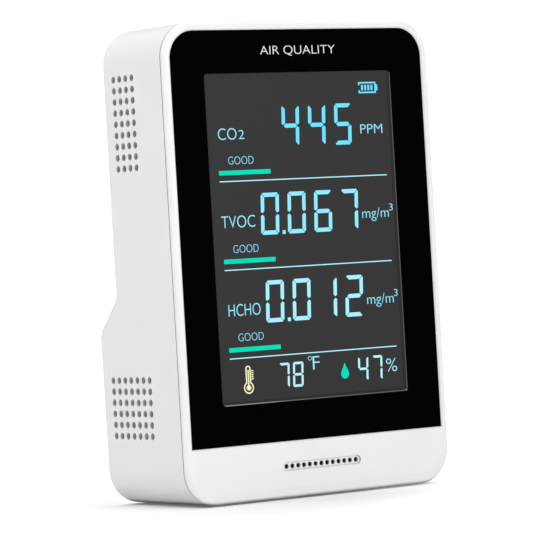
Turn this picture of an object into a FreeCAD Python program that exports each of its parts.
import FreeCAD, Part
import math
import os
import re
import Sketcher

# Desktop air quality monitor. The front faces -Y, +X is to the right and +Z is up. The origin is
# on the surface that it stands on, under the middle of its box. Sizes are in millimetres.
# A depth is counted back from the front plane, and a height up from the underside of the casing.

SIZES = {
    # Casing
    "overall_width": 95.6,
    "body_height": 140.0,
    "overall_depth": 43.8,
    "upper_depth": 33.9,
    "step_base": 51.4,
    "step_bend": 6.0,
    "corner_radius": 10.5,
    "back_edge_radius": 2.2,
    "wall": 2.0,
    "foot_stand": 0.4,
    "seam_gap": 0.3,
    "rim_depth": 1.75,
    "rim_bevel_run": 3.2,
    "rim_bevel_drop": 0.35,
    "rim_edge_radius": 1.2,
    "lip_gap": 0.15,
    "lip_wall": 1.2,
    "lip_reach": 6.0,
    # Black bezel in the front casing
    "rim_side": 2.5,
    "rim_top": 2.5,
    "bezel_base": 16.74,
    "bezel_corner": 8.2,
    "bezel_recess": 0.45,
    "bezel_thick": 1.6,
    "bezel_lip": 0.6,
    "bezel_gap": 0.1,
    "tape_thick": 0.15,
    "pocket_chamfer": 0.4,
    "floor_thick": 1.8,
    # Display
    "margin_side": 11.65,
    "margin_base": 11.86,
    "margin_top": 12.6,
    "window_corner": 1.0,
    "window_chamfer": 0.25,
    "film_overlap": 1.3,
    "film_thick": 0.2,
    "glass_overlap": 0.9,
    "glass_ledge": 4.0,
    "glass_thick": 1.1,
    "display_gap": 0.5,
    "diffuser_thick": 0.3,
    "guide_thick": 3.5,
    "reflector_thick": 0.2,
    "stack_gap": 0.05,
    "tray_back": 1.4,
    "tray_wall": 1.0,
    "strip_space": 3.4,
    # Main board and fastenings
    "board_gap": 3.0,
    "board_base": 18.0,
    "board_top_gap": 18.0,
    "board_thick": 1.6,
    "board_hole_inset": 3.6,
    "board_boss_radius": 2.6,
    "small_screw_radius": 1.0,
    "small_pilot_radius": 0.85,
    "case_boss_inset": 7.0,
    "case_boss_radius": 3.4,
    "case_boss_reach": 24.0,
    "case_seat_thick": 2.9,
    "case_well_radius": 3.0,
    "case_screw_radius": 1.3,
    "case_pilot_radius": 1.1,
    "case_pilot_long": 12.0,
    "case_screw_long": 10.0,
    "case_head_radius": 2.5,
    "case_head_tall": 1.8,
    "small_pilot_long": 4.0,
    "small_screw_long": 5.2,
    "small_head_radius": 1.9,
    "small_head_tall": 1.4,
    "tube_wall": 1.3,
    # Side vents
    "vent_pitch": 3.28,
    "vent_radius": 1.03,
    "upper_vent_depth": 17.55,
    "upper_vent_drop": 14.65,
    "lower_vent_depth": 17.2,
    "lower_vent_base": 20.6,
    # Sensors, chips and their pins on the main board
    "sensor_drop": 16.0,
    "co2_side": 18.0,
    "co2_board_wide": 22.0,
    "co2_board_tall": 20.0,
    "co2_board_thick": 1.0,
    "co2_stand": 2.5,
    "co2_cell_wide": 19.0,
    "co2_cell_tall": 16.0,
    "co2_cell_thick": 7.0,
    "co2_filter_wide": 12.0,
    "co2_filter_tall": 9.0,
    "co2_filter_thick": 0.5,
    "co2_pin_reach": 9.5,
    "pin_pitch": 2.54,
    "pin_size": 0.6,
    "climate_side": 24.0,
    "climate_wide": 12.0,
    "climate_tall": 14.0,
    "formaldehyde_side": 20.0,
    "formaldehyde_height": 44.0,
    "formaldehyde_radius": 7.0,
    "formaldehyde_long": 8.0,
    "vapour_height": 46.0,
    "vapour_base_radius": 4.6,
    "vapour_can_radius": 4.1,
    "vapour_can_long": 6.5,
    "capacitor_radius": 2.5,
    "capacitor_long": 5.5,
    "glass_pin_thick": 0.5,
    "lamp_pitch": 12.0,
    "lamp_wide": 3.5,
    "strip_thick": 0.8,
    "lamp_tall": 1.4,
    # Sound slot
    "slot_height": 9.3,
    "slot_pitch": 2.1,
    "slot_hole_radius": 0.72,
    "slot_skin": 0.6,
    "slot_mesh_radius": 1.8,
    "slot_mesh_gap": 0.1,
    "slot_groove_radius": 1.3,
    "slot_groove_depth": 0.45,
    "buzzer_radius": 4.5,
    "buzzer_long": 5.5,
    "buzzer_gap": 0.1,
    "buzzer_ring_wall": 1.0,
    "buzzer_ring_reach": 3.0,
    "buzzer_stand": 0.2,
    # Keys on the back
    "key_drop": 45.0,
    "key_pitch": 16.0,
    "key_radius": 4.0,
    "key_gap": 0.2,
    "key_proud": 0.9,
    "key_flange": 0.8,
    "key_travel": 0.4,
    "switch_size": 6.0,
    "switch_tall": 2.6,
    "plunger_radius": 1.6,
    "key_board_thick": 1.6,
    # Battery
    "cell_radius": 9.2,
    "cell_long": 65.0,
    "cell_height": 27.5,
    "cell_gap": 0.3,
    # Feet
    "foot_radius": 4.0,
    "foot_sunk": 0.8,
    "foot_inset_side": 6.0,
    "foot_inset_front": 5.2,
    "foot_inset_back": 4.0,
    # Charging socket
    "port_height": 72.0,
    "port_wide": 8.94,
    "port_thick": 3.26,
    "port_long": 7.4,
    "port_gap": 0.35,
}

FRONT_SIDE_HOLES = 13
UPPER_VENTS = (9, 4)
LOWER_VENTS = (6, 7)
KEYS = (("power", -1), ("unit", 0), ("alarm", 1))
STEP_SHIFT = math.tan(math.radians(22.5))

WORD = re.compile(r"[a-z][a-z0-9_]*")
VECTOR = FreeCAD.Vector

doc = FreeCAD.newDocument("air_quality_monitor")
sheet = doc.addObject("Spreadsheet::Sheet", "Sizes")
for line, (word, value) in enumerate(SIZES.items(), start=1):
    sheet.set(f"A{line}", word)
    sheet.set(f"B{line}", str(value))
    sheet.setAlias(f"B{line}", word)
doc.recompute()


# ---- Formulas: words of the spreadsheet joined by + - * / and brackets

def bound(formula):
    """The formula with each size named as its cell in the spreadsheet."""
    return WORD.sub(lambda word: "Sizes." + word.group(), str(formula))


def number(formula):
    """The formula's value in millimetres."""
    text = WORD.sub(lambda word: f"({sheet.get(word.group())})", str(formula))
    return float(FreeCAD.Units.Quantity(text).Value)


def deep(formula):
    """Y of a depth counted back from the front plane."""
    return f"({formula}) - overall_depth / 2"


def up(formula):
    """Z of a height counted up from the underside of the casing."""
    return f"({formula}) + foot_stand"


# ---- Bodies and sketches

def new_body(label):
    body = doc.addObject("PartDesign::Body", label)
    body.Label = label
    return body


def new_sketch(body, role, offset="0"):
    """A sketch on one of the body's own planes: XZ at a Y, YZ at an X, or XY at a Z."""
    sketch = body.newObject("Sketcher::SketchObject", f"{body.Name}_sketch")
    plane = next(item for item in body.Origin.OriginFeatures if item.Role == role)
    sketch.AttachmentSupport = [(plane, "")]
    sketch.MapMode = "FlatFace"
    # The XZ plane's normal points along -Y
    shift = f"-({offset})" if role == "XZ_Plane" else offset
    sketch.setExpression("AttachmentOffset.Base.z", bound(shift))
    return sketch


def fix_point(sketch, element, point, across, along):
    """Ties one point of a sketch element to its two formulas."""
    for kind, formula in (("DistanceX", across), ("DistanceY", along)):
        rule = Sketcher.Constraint(kind, -1, 1, element, point, number(formula))
        index = sketch.addConstraint(rule)
        sketch.setExpression(f"Constraints[{index}]", bound(formula))


def outline(sketch, points):
    """A closed outline of straight lines through points given as formulas."""
    first = sketch.GeometryCount
    count = len(points)
    places = [VECTOR(number(across), number(along), 0) for across, along in points]
    for index in range(count):
        sketch.addGeometry(Part.LineSegment(places[index], places[(index + 1) % count]))
    for index in range(count):
        following = first + (index + 1) % count
        sketch.addConstraint(Sketcher.Constraint("Coincident", first + index, 2, following, 1))
        fix_point(sketch, first + index, 1, *points[index])


def rectangle(sketch, left, right, low, high):
    outline(sketch, [(left, low), (right, low), (right, high), (left, high)])


def rounded_rectangle(sketch, left, right, low, high, radius):
    """A rectangle with four equal round corners."""
    size = number(radius)
    x0, x1, z0, z1 = (number(formula) for formula in (left, right, low, high))
    quarter = math.pi / 2
    corners = [
        (f"({right}) - ({radius})", f"({low}) + {radius}", -quarter),
        (f"({right}) - ({radius})", f"({high}) - ({radius})", 0),
        (f"({left}) + {radius}", f"({high}) - ({radius})", quarter),
        (f"({left}) + {radius}", f"({low}) + {radius}", 2 * quarter),
    ]
    sides = [
        (VECTOR(x1, z0 + size, 0), VECTOR(x1, z1 - size, 0)),
        (VECTOR(x1 - size, z1, 0), VECTOR(x0 + size, z1, 0)),
        (VECTOR(x0, z1 - size, 0), VECTOR(x0, z0 + size, 0)),
        (VECTOR(x0 + size, z0, 0), VECTOR(x1 - size, z0, 0)),
    ]
    first = sketch.GeometryCount
    for (across, along, start), (begin, end) in zip(corners, sides):
        centre = VECTOR(number(across), number(along), 0)
        ring = Part.Circle(centre, VECTOR(0, 0, 1), size)
        sketch.addGeometry(Part.ArcOfCircle(ring, start, start + quarter))
        sketch.addGeometry(Part.LineSegment(begin, end))
    for index in range(8):
        following = first + (index + 1) % 8
        sketch.addConstraint(Sketcher.Constraint("Tangent", first + index, 2, following, 1))
    for index, (across, along, _) in enumerate(corners):
        fix_point(sketch, first + 2 * index, 3, across, along)
        rule = sketch.addConstraint(Sketcher.Constraint("Radius", first + 2 * index, size))
        sketch.setExpression(f"Constraints[{rule}]", bound(radius))


def arched_rectangle(sketch, left, right, low, high, radius):
    """A rectangle that is square below and has two round corners above."""
    size = number(radius)
    x0, x1, z0, z1 = (number(formula) for formula in (left, right, low, high))
    quarter = math.pi / 2
    level = f"({high}) - ({radius})"
    centres = {1: f"({right}) - ({radius})", 3: f"({left}) + {radius}"}
    for index, start in ((1, 0), (3, quarter)):
        ring = Part.Circle(VECTOR(number(centres[index]), z1 - size, 0), VECTOR(0, 0, 1), size)
        centres[index] = (centres[index], Part.ArcOfCircle(ring, start, start + quarter))
    elements = [
        Part.LineSegment(VECTOR(x1, z0, 0), VECTOR(x1, z1 - size, 0)),
        centres[1][1],
        Part.LineSegment(VECTOR(x1 - size, z1, 0), VECTOR(x0 + size, z1, 0)),
        centres[3][1],
        Part.LineSegment(VECTOR(x0, z1 - size, 0), VECTOR(x0, z0, 0)),
        Part.LineSegment(VECTOR(x0, z0, 0), VECTOR(x1, z0, 0)),
    ]
    for element in elements:
        sketch.addGeometry(element)
    for index in range(4):
        sketch.addConstraint(Sketcher.Constraint("Tangent", index, 2, index + 1, 1))
    sketch.addConstraint(Sketcher.Constraint("Coincident", 4, 2, 5, 1))
    sketch.addConstraint(Sketcher.Constraint("Coincident", 5, 2, 0, 1))
    for index in (1, 3):
        fix_point(sketch, index, 3, centres[index][0], level)
        rule = sketch.addConstraint(Sketcher.Constraint("Radius", index, size))
        sketch.setExpression(f"Constraints[{rule}]", bound(radius))
    fix_point(sketch, 5, 1, left, low)
    fix_point(sketch, 5, 2, right, low)


def circle(sketch, across, along, radius):
    centre = VECTOR(number(across), number(along), 0)
    index = sketch.addGeometry(Part.Circle(centre, VECTOR(0, 0, 1), number(radius)))
    fix_point(sketch, index, 3, across, along)
    rule = sketch.addConstraint(Sketcher.Constraint("Radius", index, number(radius)))
    sketch.setExpression(f"Constraints[{rule}]", bound(radius))


def stadium(sketch, half, radius, along):
    """A slot outline with round ends, centred on X = 0."""
    reach, size, level = number(half), number(radius), number(along)
    quarter = math.pi / 2
    normal = VECTOR(0, 0, 1)
    right = Part.ArcOfCircle(Part.Circle(VECTOR(reach, level, 0), normal, size), -quarter, quarter)
    left = Part.ArcOfCircle(Part.Circle(VECTOR(-reach, level, 0), normal, size), quarter,
                            3 * quarter)
    top = Part.LineSegment(VECTOR(reach, level + size, 0), VECTOR(-reach, level + size, 0))
    base = Part.LineSegment(VECTOR(-reach, level - size, 0), VECTOR(reach, level - size, 0))
    for element in (right, top, left, base):
        sketch.addGeometry(element)
    for index in range(4):
        sketch.addConstraint(Sketcher.Constraint("Tangent", index, 2, (index + 1) % 4, 1))
    fix_point(sketch, 0, 3, half, along)
    fix_point(sketch, 2, 3, f"-({half})", along)
    rule = sketch.addConstraint(Sketcher.Constraint("Radius", 0, size))
    sketch.setExpression(f"Constraints[{rule}]", bound(radius))


def pad(body, sketch, length, towards_back=True):
    """Adds material from the sketch, on an XZ sketch towards +Y unless told otherwise."""
    feature = body.newObject("PartDesign::Pad", f"{body.Name}_pad")
    feature.Profile = sketch
    feature.setExpression("Length", bound(length))
    feature.Reversed = towards_back
    return feature


def pocket(body, sketch, depth=None, towards_back=True, both_ways=False):
    """Removes material from an XZ sketch towards +Y, or from any sketch right through both ways."""
    before = volume_so_far(body)
    feature = body.newObject("PartDesign::Pocket", f"{body.Name}_pocket")
    feature.Profile = sketch
    if both_ways:
        feature.Type = "ThroughAll"
        feature.Midplane = True
    else:
        feature.setExpression("Length", bound(depth))
        feature.Reversed = not towards_back
    doc.recompute()
    if feature.Shape.Volume >= before - 1e-4:
        raise RuntimeError(f"{feature.Label} removes nothing")
    return feature


def volume_so_far(body):
    doc.recompute()
    return body.Shape.Volume


def edges_where(body, test):
    doc.recompute()
    edges = enumerate(body.Tip.Shape.Edges, start=1)
    return [f"Edge{index}" for index, edge in edges if test(edge)]


def round_edges(body, radius, test):
    edges = edges_where(body, test)
    feature = body.newObject("PartDesign::Fillet", f"{body.Name}_round")
    feature.Base = (feature.BaseFeature, edges)
    feature.setExpression("Radius", bound(radius))
    return feature


def bevel_edges(body, size, test, drop=None):
    edges = edges_where(body, test)
    feature = body.newObject("PartDesign::Chamfer", f"{body.Name}_bevel")
    feature.Base = (feature.BaseFeature, edges)
    feature.setExpression("Size", bound(size))
    if drop is not None:
        feature.ChamferType = "Two distances"
        feature.setExpression("Size2", bound(drop))
    return feature


def runs_along(edge, axis):
    """True where a straight edge is parallel to an axis."""
    if edge.Curve.TypeId != "Part::GeomLine":
        return False
    return abs(edge.Curve.Direction.dot(axis)) > 0.999


def lies_at(edge, formula):
    """True where the whole edge lies in the plane of one Y."""
    level = number(formula)
    box = edge.BoundBox
    return abs(box.YMin - level) < 1e-4 and abs(box.YMax - level) < 1e-4


# ---- Plain solids

def place(item, across, depth, height):
    """Moves a solid's own origin to a place given by three formulas for X, Y and Z."""
    for letter, formula in zip("xyz", (across, depth, height)):
        item.setExpression(f"Placement.Base.{letter}", bound(formula))
    return item


def block(label, sides, depths, heights):
    """A box between two X, two Y and two Z formulas."""
    item = doc.addObject("Part::Box", label)
    for name, (low, high) in zip(("Length", "Width", "Height"), (sides, depths, heights)):
        item.setExpression(name, bound(f"({high}) - ({low})"))
    return place(item, sides[0], depths[0], heights[0])


TURNS = {
    "x": FreeCAD.Rotation(VECTOR(0, 1, 0), 90),
    "y": FreeCAD.Rotation(VECTOR(1, 0, 0), -90),
    "z": FreeCAD.Rotation(),
}


def rod(label, radius, axis, start, end, first, second):
    """A cylinder along one axis between two formulas. The other two place it, in X, Y, Z order."""
    item = doc.addObject("Part::Cylinder", label)
    item.setExpression("Radius", bound(radius))
    item.setExpression("Height", bound(f"({end}) - ({start})"))
    item.Placement = FreeCAD.Placement(VECTOR(), TURNS[axis])
    places = [first, second]
    places.insert("xyz".index(axis), start)
    return place(item, *places)


def cut(label, base, tool):
    item = doc.addObject("Part::Cut", label)
    item.Base = base
    item.Tool = tool
    return item


def fuse(label, items):
    item = doc.addObject("Part::MultiFuse", label)
    item.Shapes = items
    return item


def group(label, items):
    """Several separate solids kept as one node."""
    item = doc.addObject("Part::Compound", label)
    item.Links = items
    return item


def mirrored(formula):
    return f"-({formula})"


# ---- Places that several pieces share

HALF = "overall_width / 2"
FRONT = deep("0")
REAR = deep("overall_depth")
INNER_HALF = f"{HALF} - wall"
LIP_INSET = "wall + lip_gap"
POCKET_FLOOR = "bezel_recess + bezel_thick + tape_thick"
PLATE_BACK = f"{POCKET_FLOOR} + floor_thick"
BEZEL_HALF = f"{HALF} - rim_side"
BEZEL_TOP = "body_height - rim_top"
WINDOW_HALF = f"{BEZEL_HALF} - margin_side"
WINDOW_BASE = "bezel_base + margin_base"
WINDOW_TOP = f"{BEZEL_TOP} - margin_top"
FILM_FRONT = "bezel_recess + bezel_lip"
GLASS_FRONT = f"{FILM_FRONT} + film_thick"
GLASS_BACK = f"{GLASS_FRONT} + glass_thick"
GLASS_HALF = f"{WINDOW_HALF} + film_overlap + glass_overlap"
GLASS_BASE = f"{WINDOW_BASE} - film_overlap - glass_overlap - glass_ledge"
GLASS_TOP = f"{WINDOW_TOP} + film_overlap + glass_overlap"
TRAY_BASE = f"{WINDOW_BASE} - film_overlap - glass_overlap"
DIFFUSER_FRONT = f"{GLASS_BACK} + film_thick + stack_gap"
GUIDE_FRONT = f"{DIFFUSER_FRONT} + diffuser_thick"
GUIDE_BACK = f"{GUIDE_FRONT} + guide_thick"
TRAY_FLOOR = f"{GUIDE_BACK} + reflector_thick"
BOARD_FRONT = f"{TRAY_FLOOR} + tray_back"
BOARD_BACK = f"{BOARD_FRONT} + board_thick"
BOARD_HALF = f"{HALF} - wall - board_gap"
BOARD_TOP = "body_height - board_top_gap"
CASE_X = f"{HALF} - wall - case_boss_inset"
CASE_LOW = "wall + case_boss_inset + 1.2"
CASE_HIGH = "body_height - wall - case_boss_inset - 1.1"
CASE_SEAT = "case_boss_reach + 0.1 + case_seat_thick"
STEP_RISE = "overall_depth - upper_depth"
KEY_HEIGHT = "body_height - key_drop"
KEY_INNER = "upper_depth - wall"
FLANGE_FRONT = f"{KEY_INNER} - 0.1 - key_flange"
SWITCH_BACK = f"{FLANGE_FRONT} - 2 * key_travel - 0.5"
KEY_BOARD_BACK = f"{SWITCH_BACK} - switch_tall"
KEY_BOARD_FRONT = f"{KEY_BOARD_BACK} - key_board_thick"
KEY_BOARD_HALF = "key_pitch + switch_size / 2 + 9"
KEY_POST_X = "key_pitch + switch_size / 2 + 5.5"
CELL_DEPTH = "overall_depth - wall - 3.2 - cell_gap - cell_radius"
TAB_FACE = "cell_long / 2 + 0.3"
PLUG_X = "18"
PLUG_HEIGHT = "42"
SLOT_REACH = f"{(FRONT_SIDE_HOLES - 1) / 2} * slot_pitch"
SLOT_MESH_REACH = f"{SLOT_REACH} + 0.6"
CORNERS = [(side, height) for side in (CASE_X, mirrored(CASE_X))
           for height in (CASE_LOW, CASE_HIGH)]


# ---- Casing

def housing_block(label, inset, edge_radius):
    """The back casing's outside drawn in by an inset: deep below, shallow above a sloping step."""
    body = new_body(label)
    side = f"{HALF} - ({inset})"
    low = up(inset)
    high = up(f"body_height - ({inset})")
    start = deep("rim_depth + seam_gap")
    back = f"{REAR} - ({inset})"
    sketch = new_sketch(body, "XZ_Plane", start)
    rounded_rectangle(sketch, mirrored(side), side, low, high, f"corner_radius - ({inset})")
    pad(body, sketch, f"({back}) - ({start})")
    upright = VECTOR(0, 1, 0)
    # The step slopes at 45 degrees, and the inset moves its corners down as well as in
    shallow = deep(f"upper_depth - ({inset})")
    slope_low = up(f"step_base - {STEP_SHIFT:.5f} * ({inset})")
    slope_high = up(f"step_base + {STEP_RISE} - {STEP_SHIFT:.5f} * ({inset})")
    beyond_back = f"({back}) + 1"
    beyond_top = f"({high}) + 1"
    sketch = new_sketch(body, "YZ_Plane")
    outline(sketch, [
        (shallow, slope_high),
        (back, slope_low),
        (beyond_back, slope_low),
        (beyond_back, beyond_top),
        (shallow, beyond_top),
    ])
    pocket(body, sketch, both_ways=True)
    across = VECTOR(1, 0, 0)
    limits = (number(slope_low) - 0.5, number(slope_high) + 0.5)
    depths = (number(shallow) - 0.5, number(back) + 0.5)

    def is_step_corner(edge):
        centre = edge.CenterOfMass
        return (runs_along(edge, across) and limits[0] < centre.z < limits[1]
                and depths[0] < centre.y < depths[1])

    round_edges(body, "step_bend", is_step_corner)
    if edge_radius is not None:
        near_side = number(f"{side} - corner_radius") - 0.01
        near_ends = (number(low) + 0.01, number(high) - 0.01)
        behind = number(start) + 1

        def is_back_rim(edge):
            centre = edge.CenterOfMass
            ends = centre.z < near_ends[0] or centre.z > near_ends[1]
            straight_in = runs_along(edge, upright)
            flat = edge.BoundBox.YLength < 1e-4 and centre.y < behind
            return (abs(centre.x) > near_side or ends) and not flat and not straight_in

        round_edges(body, edge_radius, is_back_rim)
    return body


def vent_rods():
    """Rods right through both side walls, one for each vent hole."""
    rods = []
    rows, columns = UPPER_VENTS
    for row in range(rows):
        for column in range(columns):
            depth = deep(f"upper_vent_depth + {column} * vent_pitch")
            height = up(f"body_height - upper_vent_drop - {row} * vent_pitch")
            rods.append(("upper", depth, height))
    rows, columns = LOWER_VENTS
    for row in range(rows):
        for column in range(columns):
            depth = deep(f"lower_vent_depth + {column} * vent_pitch")
            height = up(f"lower_vent_base + {row} * vent_pitch")
            rods.append(("lower", depth, height))
    beyond = f"{HALF} + 1"
    return [rod(f"{where}_vent", "vent_radius", "x", mirrored(beyond), beyond, depth, height)
            for where, depth, height in rods]


def make_rear_housing():
    shell = cut("rear_shell", housing_block("rear_outside", "0", "back_edge_radius"),
                housing_block("rear_inside", "wall", None))
    vented = cut("rear_vented", shell, group("rear_vents", vent_rods()))
    solids = [vented]
    holes = []
    tube = "case_well_radius + tube_wall"
    for side, height in CORNERS:
        outside = "overall_depth" if height == CASE_LOW else "upper_depth"
        inner_end = deep("case_boss_reach + 0.1")
        level = up(height)
        solids.append(rod("screw_tube", tube, "y", inner_end, deep(f"{outside} - wall / 2"),
                          side, level))
        holes.append(rod("screw_well", "case_well_radius", "y", deep(CASE_SEAT),
                         deep(f"{outside} + 1"), side, level))
        holes.append(rod("screw_way", "case_screw_radius + 0.2", "y", deep("case_boss_reach - 1"),
                         deep(f"{outside} + 1"), side, level))
    for side in (KEY_POST_X, mirrored(KEY_POST_X)):
        solids.append(rod("key_post", "board_boss_radius", "y", deep(KEY_BOARD_BACK),
                          deep("upper_depth - wall / 2"), side, up(KEY_HEIGHT)))
        holes.append(rod("key_pilot", "small_pilot_radius", "y", deep(f"{KEY_BOARD_BACK} - 1"),
                         deep(f"{KEY_BOARD_BACK} + 4.2"), side, up(KEY_HEIGHT)))
    for _, step in KEYS:
        holes.append(rod("key_hole", "key_radius + key_gap", "y", deep(f"{KEY_INNER} - 0.5"),
                         deep("upper_depth + 1"), f"{step} * key_pitch", up(KEY_HEIGHT)))
    for side, depth in foot_places():
        holes.append(rod("foot_seat", "foot_radius + 0.05", "z", "foot_stand - 1",
                         up("foot_sunk"), side, depth))
    port_depth = deep(f"{BOARD_BACK} + port_thick / 2")
    reach = "port_wide / 2 - port_thick / 2"
    opening = "port_thick / 2 + port_gap"
    for sign in (-1, 1):
        holes.append(rod("port_end", opening, "x", f"{INNER_HALF} - 1", f"{HALF} + 1",
                         port_depth, up(f"port_height + {sign} * ({reach})")))
    holes.append(block("port_middle", (f"{INNER_HALF} - 1", f"{HALF} + 1"),
                       (f"{port_depth} - ({opening})", f"{port_depth} + {opening}"),
                       (up(f"port_height - ({reach})"), up(f"port_height + {reach}"))))
    return cut("rear_housing", fuse("rear_solids", solids), fuse("rear_holes", holes))


def foot_places():
    side = f"{HALF} - corner_radius - foot_radius - foot_inset_side"
    return [(across, depth) for across in (side, mirrored(side))
            for depth in (deep("rim_depth + seam_gap + foot_radius + foot_inset_front"),
                          f"{REAR} - back_edge_radius - foot_radius - foot_inset_back")]


def make_front_housing():
    body = new_body("front_housing")
    sketch = new_sketch(body, "XZ_Plane", FRONT)
    rounded_rectangle(sketch, mirrored(HALF), HALF, up("0"), up("body_height"), "corner_radius")
    pad(body, sketch, "rim_depth")
    front = number(FRONT)
    outside = bevel_edges(body, "rim_bevel_drop", lambda edge: lies_at(edge, FRONT),
                          "rim_bevel_run")
    doc.recompute()
    if outside.Shape.BoundBox.YMin > front + 0.01 or slope_is_steep(outside.Shape):
        outside.FlipDirection = True
    round_edges(body, "rim_edge_radius", lambda edge: is_rim_edge(edge, deep("rim_bevel_drop")))
    # The lip that slides inside the back casing, with a floor between its sides
    side = f"{HALF} - ({LIP_INSET})"
    sketch = new_sketch(body, "XZ_Plane", deep("rim_depth - 0.01"))
    rounded_rectangle(sketch, mirrored(side), side, up(LIP_INSET),
                      up(f"body_height - ({LIP_INSET})"), f"corner_radius - ({LIP_INSET})")
    pad(body, sketch, "lip_reach - rim_depth + 0.01")
    inner = f"{side} - lip_wall"
    inner_low = up(f"{LIP_INSET} + lip_wall")
    inner_high = up(f"body_height - ({LIP_INSET}) - lip_wall")
    sketch = new_sketch(body, "XZ_Plane", deep(PLATE_BACK))
    inner_corner = f"corner_radius - ({LIP_INSET}) - lip_wall"
    rounded_rectangle(sketch, mirrored(inner), inner, inner_low, inner_high, inner_corner)
    pocket(body, sketch, f"lip_reach - ({PLATE_BACK}) + 1")
    # Pocket for the bezel, square below and rounded above, and the hole for the display
    seat = f"{BEZEL_HALF} + bezel_gap"
    sketch = new_sketch(body, "XZ_Plane", deep("-1"))
    arched_rectangle(sketch, mirrored(seat), seat, up("bezel_base - bezel_gap"),
                     up(f"{BEZEL_TOP} + bezel_gap"), "bezel_corner + bezel_gap")
    pocket(body, sketch, f"{POCKET_FLOOR} + 1")
    bevel_edges(body, "pocket_chamfer", lambda edge: is_pocket_rim(edge, seat))
    hole = f"{GLASS_HALF} + display_gap"
    sketch = new_sketch(body, "XZ_Plane", FRONT)
    rectangle(sketch, mirrored(hole), hole, up(f"{GLASS_BASE} - display_gap"),
              up(f"{GLASS_TOP} + display_gap"))
    pocket(body, sketch, f"{PLATE_BACK} + 1")
    # The strip below the bezel is hollow behind, with the sound slot in front
    sketch = new_sketch(body, "XZ_Plane", deep(POCKET_FLOOR))
    rectangle(sketch, mirrored(inner), inner, inner_low, up("bezel_base - 2.5"))
    pocket(body, sketch, "floor_thick + 0.5")
    reach = SLOT_REACH
    sketch = new_sketch(body, "XZ_Plane", deep("-1"))
    stadium(sketch, f"{reach} + 0.3", "slot_groove_radius", up("slot_height"))
    pocket(body, sketch, "slot_groove_depth + 1")
    sketch = new_sketch(body, "XZ_Plane", deep("-1"))
    for index in range(FRONT_SIDE_HOLES):
        step = index - (FRONT_SIDE_HOLES - 1) / 2
        circle(sketch, f"{step} * slot_pitch", up("slot_height"), "slot_hole_radius")
    pocket(body, sketch, f"{POCKET_FLOOR} + 2")
    # Seat of the mesh that closes the slot from inside
    sketch = new_sketch(body, "XZ_Plane", deep(POCKET_FLOOR))
    stadium(sketch, SLOT_MESH_REACH, "slot_mesh_radius + slot_mesh_gap", up("slot_height"))
    pocket(body, sketch, f"{POCKET_FLOOR} - slot_groove_depth - slot_skin", towards_back=False)
    add_posts(body, CORNERS, POCKET_FLOOR, "case_boss_reach", "case_boss_radius")
    add_posts(body, board_hole_places(), f"{PLATE_BACK} - 0.5", BOARD_FRONT, "board_boss_radius")
    drill_posts(body, CORNERS, "case_boss_reach", "case_pilot_long", "case_pilot_radius")
    drill_posts(body, board_hole_places(), BOARD_FRONT, "small_pilot_long", "small_pilot_radius")
    # Ring that holds the buzzer behind the slot
    sketch = new_sketch(body, "XZ_Plane", deep(POCKET_FLOOR))
    circle(sketch, "0", up("slot_height"), "buzzer_radius + buzzer_ring_wall")
    circle(sketch, "0", up("slot_height"), "buzzer_radius + buzzer_gap")
    pad(body, sketch, "buzzer_ring_reach")
    return body


def slope_is_steep(shape):
    """True where the bevel has taken more off the side than off the front."""
    side = number(HALF)
    faces = [face for face in shape.Faces if face.BoundBox.XMin > side - 1e-3]
    return min(face.BoundBox.YMin for face in faces) > number(deep("rim_bevel_drop")) + 0.1


def is_rim_edge(edge, plane):
    """True on the outline at the bottom of the front bevel."""
    side = number(f"{HALF} - corner_radius") - 0.01
    centre = edge.CenterOfMass
    ends = centre.z < number(up("0")) + 0.01 or centre.z > number(up("body_height")) - 0.01
    return lies_at(edge, plane) and (abs(centre.x) > side or ends)


def is_pocket_rim(edge, seat):
    """True on the front edge of the bezel pocket, which follows the shallow front bevel."""
    box = edge.BoundBox
    if box.YMax > number(deep("rim_bevel_drop")) + 0.02:
        return False
    centre = edge.CenterOfMass
    low, high = number(up("bezel_base - bezel_gap")), number(up(f"{BEZEL_TOP} + bezel_gap"))
    inside = abs(centre.x) < number(seat) + 0.01 and low - 0.01 < centre.z < high + 0.01
    return inside and not runs_along(edge, VECTOR(0, 1, 0))


def board_hole_places():
    side = f"{BOARD_HALF} - board_hole_inset"
    heights = ("board_base + board_hole_inset", f"{BOARD_TOP} - board_hole_inset")
    return [(across, height) for across in (side, mirrored(side)) for height in heights]


def add_posts(body, places, start, end, radius):
    sketch = new_sketch(body, "XZ_Plane", deep(start))
    for across, height in places:
        circle(sketch, across, up(height), radius)
    pad(body, sketch, f"({end}) - ({start})")


def drill_posts(body, places, end, depth, radius):
    sketch = new_sketch(body, "XZ_Plane", deep(end))
    for across, height in places:
        circle(sketch, across, up(height), radius)
    pocket(body, sketch, depth, towards_back=False)


# ---- Bezel and display

def make_slot_mesh():
    """Black mesh pad right behind the sound slot."""
    body = new_body("slot_mesh")
    start = "slot_groove_depth + slot_skin"
    sketch = new_sketch(body, "XZ_Plane", deep(start))
    stadium(sketch, SLOT_MESH_REACH, "slot_mesh_radius", up("slot_height"))
    pad(body, sketch, f"{POCKET_FLOOR} - ({start}) - slot_mesh_gap")
    return body


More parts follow.
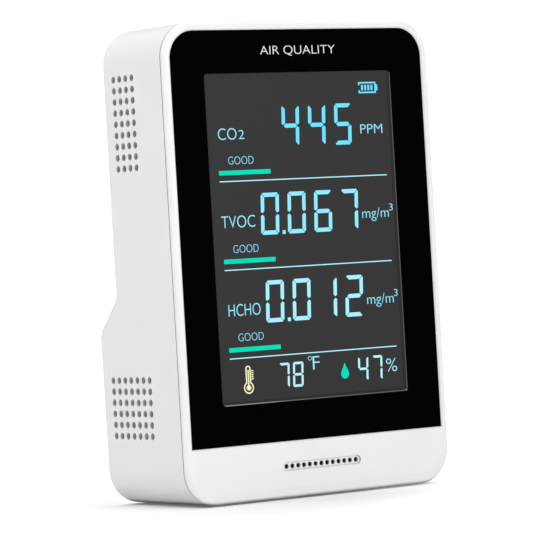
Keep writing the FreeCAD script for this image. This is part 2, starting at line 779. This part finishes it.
def make_bezel():
    body = new_body("bezel_panel")
    sketch = new_sketch(body, "XZ_Plane", deep("bezel_recess"))
    arched_rectangle(sketch, mirrored(BEZEL_HALF), BEZEL_HALF, up("bezel_base"), up(BEZEL_TOP),
                     "bezel_corner")
    pad(body, sketch, "bezel_thick")
    sketch = new_sketch(body, "XZ_Plane", deep("bezel_recess - 1"))
    rounded_rectangle(sketch, mirrored(WINDOW_HALF), WINDOW_HALF, up(WINDOW_BASE), up(WINDOW_TOP),
                      "window_corner")
    pocket(body, sketch, "bezel_thick + 2")
    # Step behind the window where the display glass sits
    seat = f"{GLASS_HALF} + bezel_gap"
    sketch = new_sketch(body, "XZ_Plane", deep(FILM_FRONT))
    rectangle(sketch, mirrored(seat), seat, up(f"{GLASS_BASE} - bezel_gap"),
              up(f"{GLASS_TOP} + bezel_gap"))
    pocket(body, sketch, "bezel_thick")
    limit = number(WINDOW_HALF) + 0.01
    face = deep("bezel_recess")
    bevel_edges(body, "window_chamfer", lambda edge: lies_at(edge, face)
                and abs(edge.CenterOfMass.x) < limit and is_in_window(edge))
    return body


def is_in_window(edge):
    low, high = number(up(WINDOW_BASE)) - 0.01, number(up(WINDOW_TOP)) + 0.01
    return low < edge.CenterOfMass.z < high


def make_bezel_tape():
    """Adhesive frame between the bezel and the floor of its pocket."""
    body = new_body("bezel_tape")
    sketch = new_sketch(body, "XZ_Plane", deep("bezel_recess + bezel_thick"))
    arched_rectangle(sketch, mirrored(f"{BEZEL_HALF} - 0.4"), f"{BEZEL_HALF} - 0.4",
                     up("bezel_base + 0.4"), up(f"{BEZEL_TOP} - 0.4"), "bezel_corner - 0.4")
    pad(body, sketch, "tape_thick")
    hole = f"{GLASS_HALF} + display_gap + 0.2"
    sketch = new_sketch(body, "XZ_Plane", deep("bezel_recess"))
    rectangle(sketch, mirrored(hole), hole, up(f"{GLASS_BASE} - display_gap - 0.2"),
              up(f"{GLASS_TOP} + display_gap + 0.2"))
    pocket(body, sketch, "bezel_thick + 2 * tape_thick")
    return body


def sheet_block(label, half, low, high, front, thick):
    """A flat sheet of the display stack, parallel to the front."""
    return block(label, (mirrored(half), half), (deep(front), deep(f"{front} + {thick}")),
                 (up(low), up(high)))


def make_display():
    film = f"{WINDOW_HALF} + film_overlap"
    film_low, film_high = f"{WINDOW_BASE} - film_overlap", f"{WINDOW_TOP} + film_overlap"
    inner = f"{GLASS_HALF} - tray_wall - stack_gap"
    inner_low = f"{TRAY_BASE} + tray_wall + stack_gap"
    inner_high = f"{GLASS_TOP} - tray_wall - stack_gap"
    pieces = [
        sheet_block("display_front_film", film, film_low, film_high, FILM_FRONT, "film_thick"),
        sheet_block("display_glass", GLASS_HALF, GLASS_BASE, GLASS_TOP, GLASS_FRONT, "glass_thick"),
        sheet_block("display_rear_film", inner, inner_low, inner_high, GLASS_BACK, "film_thick"),
        sheet_block("backlight_diffuser", inner, inner_low, inner_high,
                    DIFFUSER_FRONT, "diffuser_thick"),
        sheet_block("light_guide", inner, f"{inner_low} + strip_space", inner_high,
                    GUIDE_FRONT, "guide_thick"),
        sheet_block("backlight_reflector", inner, inner_low, inner_high,
                    GUIDE_BACK, "reflector_thick"),
    ]
    outer = block("tray_outside", (mirrored(GLASS_HALF), GLASS_HALF),
                  (deep(GLASS_BACK), deep(BOARD_FRONT)), (up(TRAY_BASE), up(GLASS_TOP)))
    hollow_half = f"{GLASS_HALF} - tray_wall"
    hollow = block("tray_inside", (mirrored(hollow_half), hollow_half),
                   (deep(f"{GLASS_BACK} - 1"), deep(TRAY_FLOOR)),
                   (up(f"{TRAY_BASE} + tray_wall"), up(f"{GLASS_TOP} - tray_wall")))
    pieces.append(cut("display_tray", outer, hollow))
    strip_low = f"{TRAY_BASE} + tray_wall + 0.2"
    strip = block("strip_board", (mirrored(f"{inner} - 2"), f"{inner} - 2"),
                  (deep(f"{GUIDE_FRONT} + 0.2"), deep(f"{GUIDE_BACK} - 0.2")),
                  (up(strip_low), up(f"{strip_low} + strip_thick")))
    lamps = []
    for step in (-2, -1, 0, 1, 2):
        centre = f"{step} * lamp_pitch"
        lamps.append(block("strip_lamp", (f"{centre} - lamp_wide / 2", f"{centre} + lamp_wide / 2"),
                           (deep(f"{GUIDE_FRONT} + 0.6"), deep(f"{GUIDE_BACK} - 0.6")),
                           (up(f"{strip_low} + strip_thick"),
                            up(f"{strip_low} + strip_thick + lamp_tall"))))
    pieces.append(fuse("backlight_strip", [strip] + lamps))
    pins = []
    for step in range(-12, 13):
        centre = f"{step} * pin_pitch"
        half = "glass_pin_thick / 2"
        pins.append(block("display_pin", (f"{centre} - {half}", f"{centre} + {half}"),
                          (deep(GLASS_BACK), deep(BOARD_FRONT)),
                          (up(f"{GLASS_BASE} + 1"), up(f"{GLASS_BASE} + 1.3"))))
    pieces.append(group("display_pins", pins))
    return pieces


# ---- Boards and what is soldered to them

def on_board(label, centre, size, height, rise="0"):
    """A box on the back of the main board: its middle, its size across, how far it rises."""
    across, level = centre
    wide, tall = size
    start = f"{BOARD_BACK} + {rise}"
    return block(label, (f"{across} - {wide} / 2", f"{across} + {wide} / 2"),
                 (deep(start), deep(f"{start} + {height}")),
                 (up(f"{level} - {tall} / 2"), up(f"{level} + {tall} / 2")))


def make_main_board():
    body = new_body("main_board")
    sketch = new_sketch(body, "XZ_Plane", deep(BOARD_FRONT))
    rectangle(sketch, mirrored(BOARD_HALF), BOARD_HALF, up("board_base"), up(BOARD_TOP))
    pad(body, sketch, "board_thick")
    sketch = new_sketch(body, "XZ_Plane", deep(f"{BOARD_FRONT} - 1"))
    for across, height in board_hole_places():
        circle(sketch, across, up(height), "small_screw_radius + 0.15")
    pocket(body, sketch, "board_thick + 2")
    return body


def make_electronics():
    upper = f"{BOARD_TOP} - sensor_drop"
    co2 = ("-co2_side", upper)
    cell_stand = "co2_stand + co2_board_thick"
    pieces = [
        on_board("processor", ("4", "72"), ("10", "10"), "1.4"),
        group("board_chips", [
            on_board("memory_chip", ("-10", "74"), ("5", "6"), "1.5"),
            on_board("charge_chip", ("22", "64"), ("4", "4"), "1"),
            on_board("power_coil", ("23", "56"), ("6", "6"), "3"),
            on_board("crystal", ("4", "62"), ("5", "3.2"), "1"),
            on_board("driver_chip", ("-12", "60"), ("12", "7"), "1.5"),
        ]),
        group("board_capacitors", [
            rod("capacitor", "capacitor_radius", "y", deep(BOARD_BACK),
                deep(f"{BOARD_BACK} + capacitor_long"), across, up(height))
            for across, height in (("14", "54"), ("14", "60"))
        ]),
        on_board("co2_sensor_board", co2, ("co2_board_wide", "co2_board_tall"),
                 "co2_board_thick", "co2_stand"),
        group("co2_sensor_pins", [
            on_board("co2_pin", (f"{sign} * co2_pin_reach - co2_side",
                                 f"{upper} + {step} * pin_pitch"),
                     ("pin_size", "pin_size"), "co2_stand")
            for sign in (-1, 1) for step in (-2, -1, 0, 1, 2)
        ]),
        on_board("co2_sensor_cell", co2, ("co2_cell_wide", "co2_cell_tall"),
                 "co2_cell_thick", cell_stand),
        on_board("co2_sensor_filter", co2, ("co2_filter_wide", "co2_filter_tall"),
                 "co2_filter_thick", f"{cell_stand} + co2_cell_thick"),
        rod("formaldehyde_sensor", "formaldehyde_radius", "y", deep(BOARD_BACK),
            deep(f"{BOARD_BACK} + formaldehyde_long"), "-formaldehyde_side",
            up("formaldehyde_height")),
        fuse("vapour_sensor", [
            rod("vapour_base", "vapour_base_radius", "y", deep(BOARD_BACK),
                deep(f"{BOARD_BACK} + 1"), "0", up("vapour_height")),
            rod("vapour_can", "vapour_can_radius", "y", deep(BOARD_BACK),
                deep(f"{BOARD_BACK} + vapour_can_long"), "0", up("vapour_height")),
        ]),
        on_board("climate_board", ("climate_side", upper), ("climate_wide", "climate_tall"), "1"),
        on_board("climate_sensor", ("climate_side", upper), ("3", "3"), "1", "1"),
        on_board("battery_socket", (PLUG_X, PLUG_HEIGHT), ("8", "4.6"), "6"),
    ]
    port_half = f"{HALF} - 1"
    port_end = f"{port_half} - port_long"
    middle = deep(f"{BOARD_BACK} + port_thick / 2")
    pieces.append(make_port(port_half, port_end, middle))
    return pieces


def make_port(mouth, inner_end, middle):
    """Charging socket: a flattened steel tube, closed inside, around a contact tongue."""
    thick, wide = "port_thick / 2", "port_wide / 2"

    def flat_tube(label, shell, start, end):
        reach = f"{wide} - {thick}"
        size = f"{thick} - {shell}"
        ends = [rod(label, size, "x", start, end, middle, up(f"port_height + {sign} * ({reach})"))
                for sign in (-1, 1)]
        ends.append(block(label, (start, end), (f"{middle} - ({size})", f"{middle} + {size}"),
                          (up(f"port_height - ({reach})"), up(f"port_height + {reach}"))))
        return fuse(f"{label}_solids", ends)

    shell = cut("port_shell", flat_tube("port_outside", "0", inner_end, mouth),
                flat_tube("port_inside", "0.3", f"{inner_end} + 1", f"{mouth} + 1"))
    tongue = block("port_tongue", (f"{inner_end} + 0.5", f"{mouth} - 0.8"),
                   (f"{middle} - 0.35", f"{middle} + 0.35"),
                   (up("port_height - 3.3"), up("port_height + 3.3")))
    return fuse("charging_socket", [shell, tongue])


def make_key_board():
    board = block("key_board_blank", (mirrored(KEY_BOARD_HALF), KEY_BOARD_HALF),
                  (deep(KEY_BOARD_FRONT), deep(KEY_BOARD_BACK)),
                  (up(f"{KEY_HEIGHT} - 6"), up(f"{KEY_HEIGHT} + 6")))
    holes = [rod("key_board_hole", "small_screw_radius + 0.15", "y", deep(f"{KEY_BOARD_FRONT} - 1"),
                 deep(f"{KEY_BOARD_BACK} + 1"), side, up(KEY_HEIGHT))
             for side in (KEY_POST_X, mirrored(KEY_POST_X))]
    switches = []
    for _, step in KEYS:
        centre = f"{step} * key_pitch"
        base = block("switch_base", (f"{centre} - switch_size / 2", f"{centre} + switch_size / 2"),
                     (deep(KEY_BOARD_BACK), deep(SWITCH_BACK)),
                     (up(f"{KEY_HEIGHT} - switch_size / 2"), up(f"{KEY_HEIGHT} + switch_size / 2")))
        well = rod("switch_well", "plunger_radius + 0.15", "y", deep(f"{SWITCH_BACK} - 1.6"),
                   deep(f"{SWITCH_BACK} + 1"), centre, up(KEY_HEIGHT))
        switches.append(cut("switch", base, well))
    return [cut("key_board", board, fuse("key_board_holes", holes)),
            group("key_switches", switches)]


def make_keys():
    """Three keys in the back wall, each with the plunger of its switch in front of it."""
    pieces = []
    for name, step in KEYS:
        centre = f"{step} * key_pitch"
        cap = new_body(f"{name}_key")
        sketch = new_sketch(cap, "XZ_Plane", deep(FLANGE_FRONT))
        circle(sketch, centre, up(KEY_HEIGHT), "key_radius + 1")
        pad(cap, sketch, "key_flange")
        sketch = new_sketch(cap, "XZ_Plane", deep(FLANGE_FRONT))
        circle(sketch, centre, up(KEY_HEIGHT), "key_radius")
        pad(cap, sketch, f"upper_depth + key_proud - ({FLANGE_FRONT})")
        outer_end = deep("upper_depth + key_proud")
        round_edges(cap, "0.4", lambda edge, plane=outer_end: lies_at(edge, plane))
        pieces.append(cap)
        pieces.append(rod(f"{name}_switch_plunger", "plunger_radius", "y",
                          deep(f"{SWITCH_BACK} - 0.9"), deep(FLANGE_FRONT), centre, up(KEY_HEIGHT)))
    return pieces


# ---- Battery

def make_battery():
    reach = "cell_long / 2"
    level = up("cell_height")
    depth = deep(CELL_DEPTH)
    back = deep(f"{CELL_DEPTH} + cell_gap + cell_radius + 1.6")
    pieces = [rod("battery_cell", "cell_radius", "x", mirrored(reach), reach, depth, level)]
    outside = f"{reach} + 2.6"
    trough = block("cradle_outside", (mirrored(outside), outside), (f"{depth} - 4", back),
                   (f"{level} - cell_radius - 1.2", f"{level} + cell_radius + 1.2"))
    hollow = rod("cradle_hollow", "cell_radius + cell_gap", "x", mirrored(f"{reach} + 0.8"),
                 f"{reach} + 0.8", depth, level)
    mouth = block("cradle_mouth", (mirrored(f"{reach} + 0.8"), f"{reach} + 0.8"),
                  (f"{depth} - 5", depth),
                  (f"{level} - cell_radius - cell_gap", f"{level} + cell_radius + cell_gap"))
    pieces.append(cut("battery_cradle", trough, fuse("cradle_space", [hollow, mouth])))
    tape = block("cradle_tape", ("-28", "28"), (back, f"{REAR} - wall"),
                 (f"{level} - 7", f"{level} + 7"))
    pieces.append(tape)
    tabs = []
    for low, high in ((reach, TAB_FACE), (mirrored(TAB_FACE), mirrored(reach))):
        tabs.append(block("cell_tab", (low, high), (f"{depth} - 7", f"{depth} + 5"),
                          (f"{level} - 3.5", f"{level} + 3.5")))
    pieces.append(group("battery_tabs", tabs))
    pieces.append(on_board("battery_plug", (PLUG_X, PLUG_HEIGHT), ("7", "3.8"), "3", "6"))
    return pieces


def lead(points, radius, bend):
    """A round lead: straight runs between points, joined by tangent arcs of one bend radius."""
    edges = []
    start = points[0]
    for before, corner, after in zip(points, points[1:], points[2:]):
        incoming = (corner - before).normalize()
        outgoing = (after - corner).normalize()
        half_turn = incoming.getAngle(outgoing) / 2
        setback = bend * math.tan(half_turn)
        begin = corner - incoming * setback
        end = corner + outgoing * setback
        inward = (outgoing - incoming).normalize()
        middle = corner + inward * (bend / math.cos(half_turn) - bend)
        edges.append(Part.LineSegment(start, begin).toShape())
        edges.append(Part.Arc(begin, middle, end).toShape())
        start = end
    edges.append(Part.LineSegment(start, points[-1]).toShape())
    path = Part.Wire(edges)
    direction = (points[1] - points[0]).normalize()
    section = Part.Wire(Part.Circle(points[0], direction, radius).toShape())
    return path.makePipeShell([section], True, False)


def point(across, depth, height):
    return VECTOR(number(across), number(depth), number(height))


def run_leads(label, routes, radius, bend):
    """One node of round leads, made whole along their routes through the casing."""
    solids = [lead(route, radius, bend) for route in routes]
    item = doc.addObject("Part::Feature", label)
    item.Shape = solids[0] if len(solids) == 1 else Part.Compound(solids)
    return item


def make_leads():
    pieces = []
    behind_plug = deep(f"{BOARD_BACK} + 9")
    run = deep(f"{CELL_DEPTH} - 5.9")
    tab_level = up("cell_height + 1.5")
    for name, side in (("red", 1), ("black", -1)):
        start = number(PLUG_X) + side * 1.5
        reach = side * (number(TAB_FACE) + 2.7)
        route = [
            point(start, behind_plug, up(PLUG_HEIGHT)),
            point(start, run, up(PLUG_HEIGHT)),
            point(reach, run, up(PLUG_HEIGHT)),
            point(reach, run, tab_level),
            point(side * number(TAB_FACE), run, tab_level),
        ]
        pieces.append(run_leads(f"battery_lead_{name}", [route], 0.6, 1.5))
    routes = []
    for across in (-2.5, 2.5):
        behind = deep(f"{POCKET_FLOOR} + buzzer_stand + buzzer_long")
        back = deep(f"{BOARD_BACK} + 3")
        routes.append([
            point(across, behind, up("slot_height")),
            point(across, back, up("slot_height")),
            point(across, back, up("board_base + 3")),
            point(across, deep(BOARD_BACK), up("board_base + 3")),
        ])
    pieces.append(run_leads("buzzer_leads", routes, 0.5, 1.2))
    routes = []
    for across in (6, 8, 10, 12):
        halfway = deep(f"{KEY_BOARD_FRONT} - 4")
        routes.append([
            point(across, deep(KEY_BOARD_FRONT), up(f"{KEY_HEIGHT} - 3")),
            point(across, halfway, up(f"{KEY_HEIGHT} - 3")),
            point(across, halfway, up(f"{KEY_HEIGHT} - 11")),
            point(across, deep(BOARD_BACK), up(f"{KEY_HEIGHT} - 11")),
        ])
    pieces.append(run_leads("key_leads", routes, 0.5, 1.5))
    return pieces


# ---- Fasteners, feet and the buzzer

def make_screw(label, head_radius, head_tall, radius, long, place_at, faces_back=True):
    """A pan-head screw with a cross recess. Its seat is at the place, under the head."""
    body = new_body(label)
    sketch = new_sketch(body, "XZ_Plane")
    outline(sketch, [
        ("0", f"-({long})"),
        (f"({radius}) / 2", f"-({long})"),
        (radius, f"({radius}) - ({long})"),
        (radius, "0"),
        (head_radius, "0"),
        (head_radius, f"({head_tall}) * 0.55"),
        (f"({head_radius}) * 0.7", head_tall),
        ("0", head_tall),
    ])
    turned = body.newObject("PartDesign::Revolution", f"{label}_turned")
    turned.Profile = sketch
    turned.ReferenceAxis = (sketch, ["V_Axis"])
    turned.Angle = 360
    arm, half = f"({head_radius}) * 0.55", f"({head_radius}) * 0.13"
    sketch = new_sketch(body, "XY_Plane", head_tall)
    outline(sketch, [
        (half, half), (arm, half), (arm, mirrored(half)), (half, mirrored(half)),
        (half, mirrored(arm)), (mirrored(half), mirrored(arm)), (mirrored(half), mirrored(half)),
        (mirrored(arm), mirrored(half)), (mirrored(arm), half), (mirrored(half), half),
        (mirrored(half), arm), (half, arm),
    ])
    recess = body.newObject("PartDesign::Pocket", f"{label}_recess")
    recess.Profile = sketch
    recess.setExpression("Length", bound(f"({head_tall}) * 0.6"))
    turn = FreeCAD.Rotation(VECTOR(1, 0, 0), -90 if faces_back else 90)
    body.Placement = FreeCAD.Placement(VECTOR(), turn)
    return place(body, *place_at)


def make_screws():
    large = ("case_head_radius", "case_head_tall", "case_screw_radius", "case_screw_long")
    small = ("small_head_radius", "small_head_tall", "small_screw_radius", "small_screw_long")
    case = [make_screw("case_screw", *large, (side, deep(CASE_SEAT), up(height)))
            for side, height in CORNERS]
    board = [make_screw("board_screw", *small, (side, deep(BOARD_BACK), up(height)))
             for side, height in board_hole_places()]
    keys = [make_screw("key_board_screw", *small, (side, deep(KEY_BOARD_FRONT), up(KEY_HEIGHT)),
                       faces_back=False)
            for side in (KEY_POST_X, mirrored(KEY_POST_X))]
    return [group("case_screws", case), group("board_screws", board),
            group("key_board_screws", keys)]


def make_feet():
    feet = []
    for side, depth in foot_places():
        body = new_body("foot")
        sketch = new_sketch(body, "XY_Plane")
        circle(sketch, "0", "0", "foot_radius")
        pad(body, sketch, "foot_stand + foot_sunk", towards_back=False)
        round_edges(body, "0.3", lambda edge: abs(edge.BoundBox.ZMax) < 1e-4)
        feet.append(place(body, side, depth, "0"))
    return group("rubber_feet", feet)


def make_buzzer():
    start = f"{POCKET_FLOOR} + buzzer_stand"
    return rod("buzzer", "buzzer_radius", "y", deep(start), deep(f"{start} + buzzer_long"),
               "0", up("slot_height"))


# ---- The whole monitor

def make_everything():
    pieces = [make_front_housing(), make_rear_housing(), make_slot_mesh(), make_bezel(),
              make_bezel_tape()]
    pieces += make_display()
    pieces += [make_main_board()] + make_electronics() + make_key_board() + make_keys()
    pieces += make_battery() + make_leads() + make_screws() + [make_feet(), make_buzzer()]
    return pieces


def check(pieces):
    """Stops if any object of the document has failed or any piece is empty or broken."""
    for item in doc.Objects:
        if "Invalid" in item.State or "Error" in item.State:
            raise RuntimeError(f"{item.Label} failed: {item.getStatusString()}")
    labels = [piece.Label for piece in pieces]
    if len(set(labels)) != len(labels):
        raise RuntimeError("two pieces have one name")
    for piece in pieces:
        if piece.Shape.isNull() or not piece.Shape.isValid() or not piece.Shape.Solids:
            raise RuntimeError(f"{piece.Label} has no sound shape")


def write(pieces):
    os.makedirs("parts", exist_ok=True)
    for piece in pieces:
        piece.Shape.exportStep(os.path.join("parts", f"{piece.Label}.step"))
        print(f"{piece.Label}: {len(piece.Shape.Solids)} solids, {piece.Shape.Volume:.1f} mm3")


monitor = make_everything()
doc.recompute()
check(monitor)
write(monitor)
